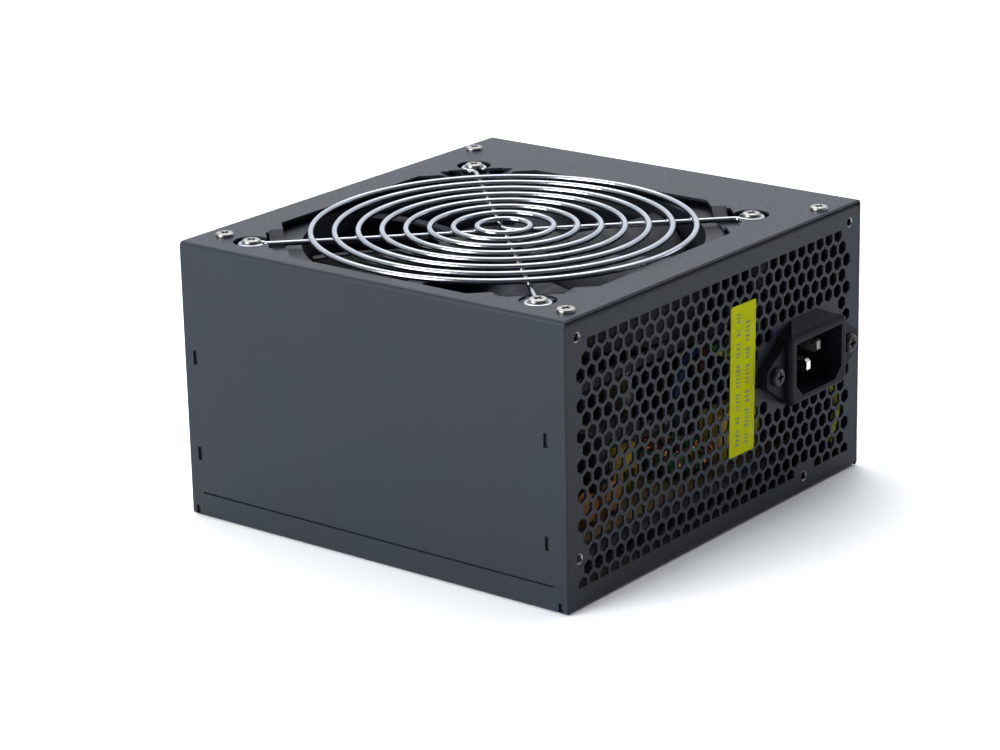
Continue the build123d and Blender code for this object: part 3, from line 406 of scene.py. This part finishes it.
# ---------------------------------------------------------------- added pieces


def make_object(name, bm, material_slot, body):
    mesh = bpy.data.meshes.new(name)
    bm.to_mesh(mesh)
    bm.free()
    mesh.materials.append(MATERIALS[material_slot])
    piece = bpy.data.objects.new(name, mesh)
    bpy.context.scene.collection.objects.link(piece)
    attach(piece, body)
    return piece


def add_box(bm, centre, size, turn=0.0):
    """Closed box with its middle at centre; turn is its angle about Y, in radians."""
    place = Matrix.Translation(centre) @ Matrix.Rotation(turn, 4, "Y") @ Matrix.Diagonal((*size, 1))
    bmesh.ops.create_cube(bm, size=1.0, matrix=place)


def add_ring(bm, centre, axis, ring_radius, wire_radius, sides=28, round_sides=8):
    """Closed torus about an axis through centre."""
    turn = Vector((0, 0, 1)).rotation_difference(Vector(axis))
    loops = []
    for step in range(sides):
        angle = 2 * math.pi * step / sides
        loop = []
        for around in range(round_sides):
            tilt = 2 * math.pi * around / round_sides
            reach = ring_radius + wire_radius * math.cos(tilt)
            point = Vector((reach * math.cos(angle), reach * math.sin(angle),
                            wire_radius * math.sin(tilt)))
            loop.append(bm.verts.new(turn @ point + Vector(centre)))
        loops.append(loop)
    for first, second in zip(loops, loops[1:] + loops[:1]):
        for index in range(round_sides):
            after = (index + 1) % round_sides
            bm.faces.new((first[index], second[index], second[after], first[after]))


def smooth(piece):
    for polygon in piece.data.polygons:
        polygon.use_smooth = True


# The label leans by this angle, and its two columns of print have this centre and width
LABEL_TURN = math.radians(-1.2)
PRINT_COLUMNS = [(-2.5 * MM, 2.1 * MM), (2.3 * MM, 2.3 * MM)]
PRINT_START = 3.0 * MM
LAST_WORD = 5.0 * MM
LAST_BAR = 2.5 * MM
WORD_GAP = 1.5 * MM
INK_DEPTH = 0.03 * MM

# Least and greatest length of a bar of print and of the gap after it, in millimetres
BAR_LENGTHS = (0.45, 0.9)
BAR_GAPS = (0.45, 0.7)


def label_marks():
    """Two columns of short printed bars, grouped like words but with no letters."""
    low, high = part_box("panel_label")
    centre = (Vector(low) + Vector(high)) / 2
    length = high[2] - low[2]
    cosine, sine = math.cos(LABEL_TURN), math.sin(LABEL_TURN)
    bm = bmesh.new()
    for column, bar_width in PRINT_COLUMNS:
        along = -length / 2 + PRINT_START
        while along < length / 2 - LAST_WORD:
            for _ in range(rng.randint(2, 6)):
                bar = rng.uniform(*BAR_LENGTHS) * MM
                if along + bar > length / 2 - LAST_BAR:
                    break
                width = bar_width * rng.uniform(0.8, 1.0)
                middle = along + bar / 2
                place = Vector((column * cosine - middle * sine, 0,
                                middle * cosine + column * sine))
                place += Vector((centre.x, low[1] - INK_DEPTH / 2, centre.z))
                add_box(bm, place, (width, INK_DEPTH, bar), -LABEL_TURN)
                along += bar + rng.uniform(*BAR_GAPS) * MM
            along += WORD_GAP
    piece = make_object("label_marks", bm, "label_paper", "case")
    piece.data.materials.clear()
    piece.data.materials.append(plain_finish("label_ink", (0.16, 0.17, 0.045), 0.6))


# Rings of the guard, and the half sizes of a weld
RING_COUNT = 8
FIRST_RING = 7.8 * MM
RING_PITCH = 7.0 * MM
WELD_SIZE = (1.25 * MM, 1.0 * MM, 0.55 * MM)
WELD_LIFT = 0.1 * MM


def guard_welds():
    """A small flattened weld where each ring crosses each arm."""
    ring_low = Vector(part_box("guard_rings")[0]).z
    bm = bmesh.new()
    for index in range(RING_COUNT):
        for corner in range(4):
            angle = math.radians(45 + 90 * corner)
            reach = FIRST_RING + index * RING_PITCH
            place = Matrix.Translation((FAN_X + reach * math.cos(angle), reach * math.sin(angle),
                                        ring_low + WELD_LIFT))
            stretch = Matrix.Diagonal((*(size * rng.uniform(0.85, 1.15) for size in WELD_SIZE), 1))
            bmesh.ops.create_icosphere(bm, subdivisions=2, radius=1.0,
                                       matrix=place @ Matrix.Rotation(angle, 4, "Z") @ stretch)
    smooth(make_object("guard_welds", bm, "guard_chrome", "case"))


# Mounting holes of the rear face as (X, Z), and the thread ridges in them
MOUNT_HOLES = [(-69.0 * MM, 79.0 * MM), (69.0 * MM, 79.0 * MM),
               (-69.0 * MM, 15.0 * MM), (45.0 * MM, 5.0 * MM)]
THREAD_TURNS = 3
THREAD_RADIUS = 1.46 * MM
THREAD_PITCH = 0.26 * MM
THREAD_START = 0.14 * MM
THREAD_WIRE = 0.1 * MM


def hole_threads():
    """Bright thread ridges in each mounting hole of the rear face."""
    bm = bmesh.new()
    for x, z in MOUNT_HOLES:
        for turn in range(THREAD_TURNS):
            centre = (x, REAR + THREAD_START + turn * THREAD_PITCH, z)
            add_ring(bm, centre, (0, 1, 0), THREAD_RADIUS, THREAD_WIRE)
    smooth(make_object("hole_threads", bm, "plain_steel", "case"))


make_camera()
make_stage()
make_lights()
paint_nodes()
soften_edges()
label_marks()
guard_welds()
hole_threads()
